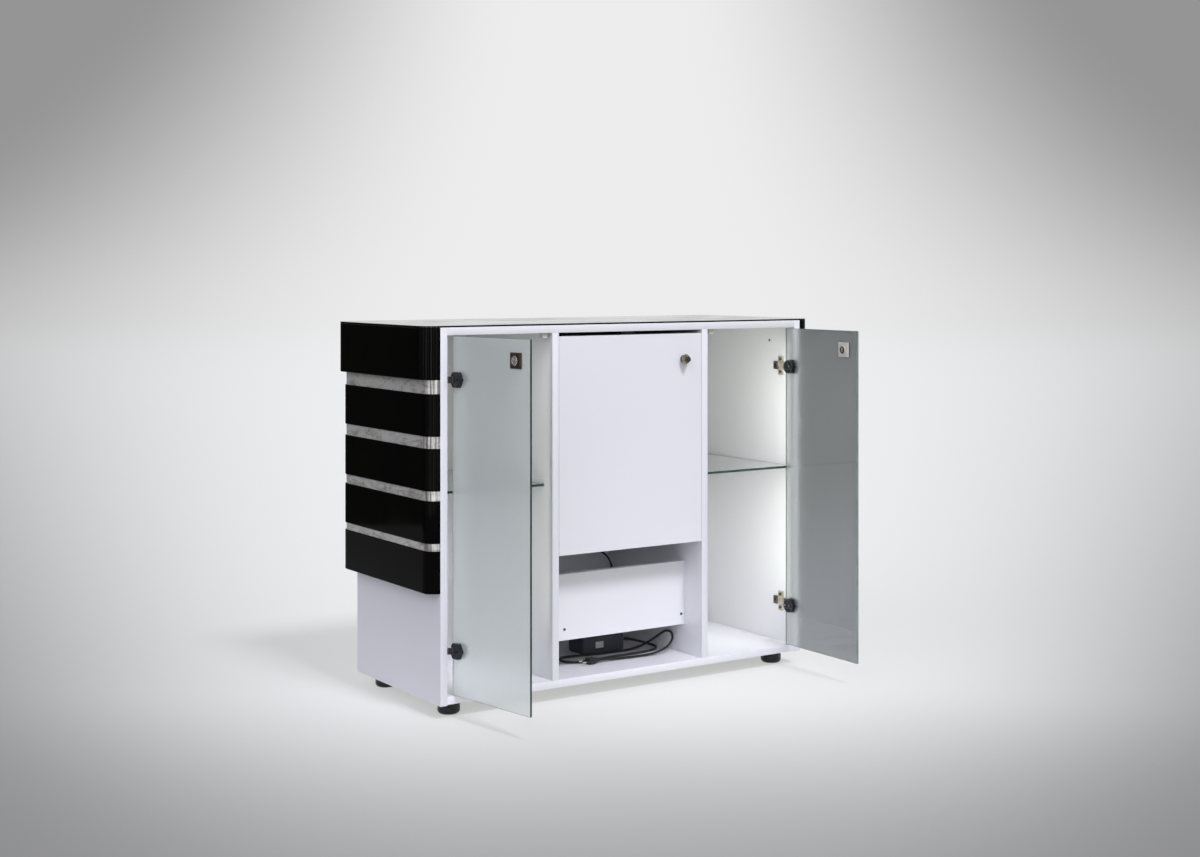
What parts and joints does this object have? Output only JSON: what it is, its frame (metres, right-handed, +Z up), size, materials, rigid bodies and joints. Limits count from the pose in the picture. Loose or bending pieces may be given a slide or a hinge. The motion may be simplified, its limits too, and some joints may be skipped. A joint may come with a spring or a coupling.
{
  "type": "bar cabinet",
  "caption": "White bar cabinet with black wrap-round bands, bright strips, hinged frosted glass doors, glass shelves and a fold out shelf over an open niche.",
  "frame": {"origin": "on the floor, at the middle of the box round the cabinet with its doors open as pictured", "axes": "+X to the right seen from the door side, +Y back towards the guests' side, +Z up"},
  "size_m": [1.154, 0.7468, 0.904],
  "materials": {
    "white_board": "white melamine, satin",
    "black_band": "black high gloss on board",
    "black_top": "black high gloss",
    "bright_strip": "polished bright sheet",
    "clear_glass": "clear, polished edges",
    "frosted_glass": "frosted, green edges",
    "dowel_wood": "beech",
    "black_plastic": "moulded black",
    "nickel_steel": "nickel plated",
    "screw_steel": "dark plated",
    "bronze_plate": "dark bronze",
    "ivory_plastic": "ivory, moulded",
    "old_brass": "antique brass",
    "dark_brass": "dark patina",
    "grey_plastic": "moulded, blue grey",
    "lamp_plastic": "opal",
    "lead_rubber": "black, smooth"
  },
  "bodies": {
    "carcass": {"left_side_panel": "white_board", "right_side_panel": "white_board", "left_divider": "white_board", "right_divider": "white_board", "bottom_board": "white_board", "top_board": "white_board", "public_side_panel": "white_board", "compartment_floor": "white_board", "niche_cover_panel": "white_board", "cover_cleat": "white_board", "top_band": "black_band", "band_2": "black_band", "band_3": "black_band", "band_4": "black_band", "band_5": "black_band", "top_plate": "black_top", "chrome_strip_1": "bright_strip", "chrome_strip_2": "bright_strip", "chrome_strip_3": "bright_strip", "chrome_strip_4": "bright_strip", "left_glass_shelf": "clear_glass", "right_glass_shelf": "clear_glass", "board_dowels": "dowel_wood", "feet": "black_plastic", "shelf_pins": "nickel_steel", "hinge_arms": "nickel_steel", "hinge_pins": "nickel_steel", "hinge_mount_plates": "nickel_steel", "foot_screws": "screw_steel", "hinge_screws": "screw_steel", "cover_screws": "screw_steel", "door_stops": "ivory_plastic", "flap_stop": "ivory_plastic", "flap_bushes": "ivory_plastic", "stay_guides": "ivory_plastic", "lead_clips": "ivory_plastic", "power_supply": "grey_plastic", "compartment_lamp": "lamp_plastic", "mains_lead": "lead_rubber", "supply_lead": "lead_rubber", "lamp_lead": "lead_rubber", "grommet": "lead_rubber", "mains_plug": "lead_rubber"},
    "left_door": {"left_door_glass": "frosted_glass", "left_hinge_caps": "black_plastic", "left_hinge_rings": "black_plastic", "left_outer_plate": "bronze_plate", "left_inner_plate": "ivory_plastic"},
    "right_door": {"right_door_glass": "frosted_glass", "right_hinge_caps": "black_plastic", "right_hinge_rings": "black_plastic", "right_outer_plate": "bronze_plate", "right_inner_plate": "ivory_plastic"},
    "flap": {"flap_panel": "white_board", "flap_pins": "nickel_steel", "flap_stays": "nickel_steel", "knob": "old_brass", "knob_end": "dark_brass", "knob_screw": "screw_steel"}
  },
  "joints": [
    {"name": "left_door_hinge", "type": "hinge", "parent": "carcass", "child": "left_door", "pos_m": [-0.504, -0.10357, 0.45], "axis": [0, 0, -1], "range_deg": [-82, 23]},
    {"name": "right_door_hinge", "type": "hinge", "parent": "carcass", "child": "right_door", "pos_m": [0.504, -0.10357, 0.45], "axis": [0, 0, 1], "range_deg": [-89, 16]},
    {"name": "flap_pivot", "type": "hinge", "parent": "carcass", "child": "flap", "pos_m": [0, -0.08957, 0.357], "axis": [1, 0, 0], "range_deg": [0, 90]}
  ]
}
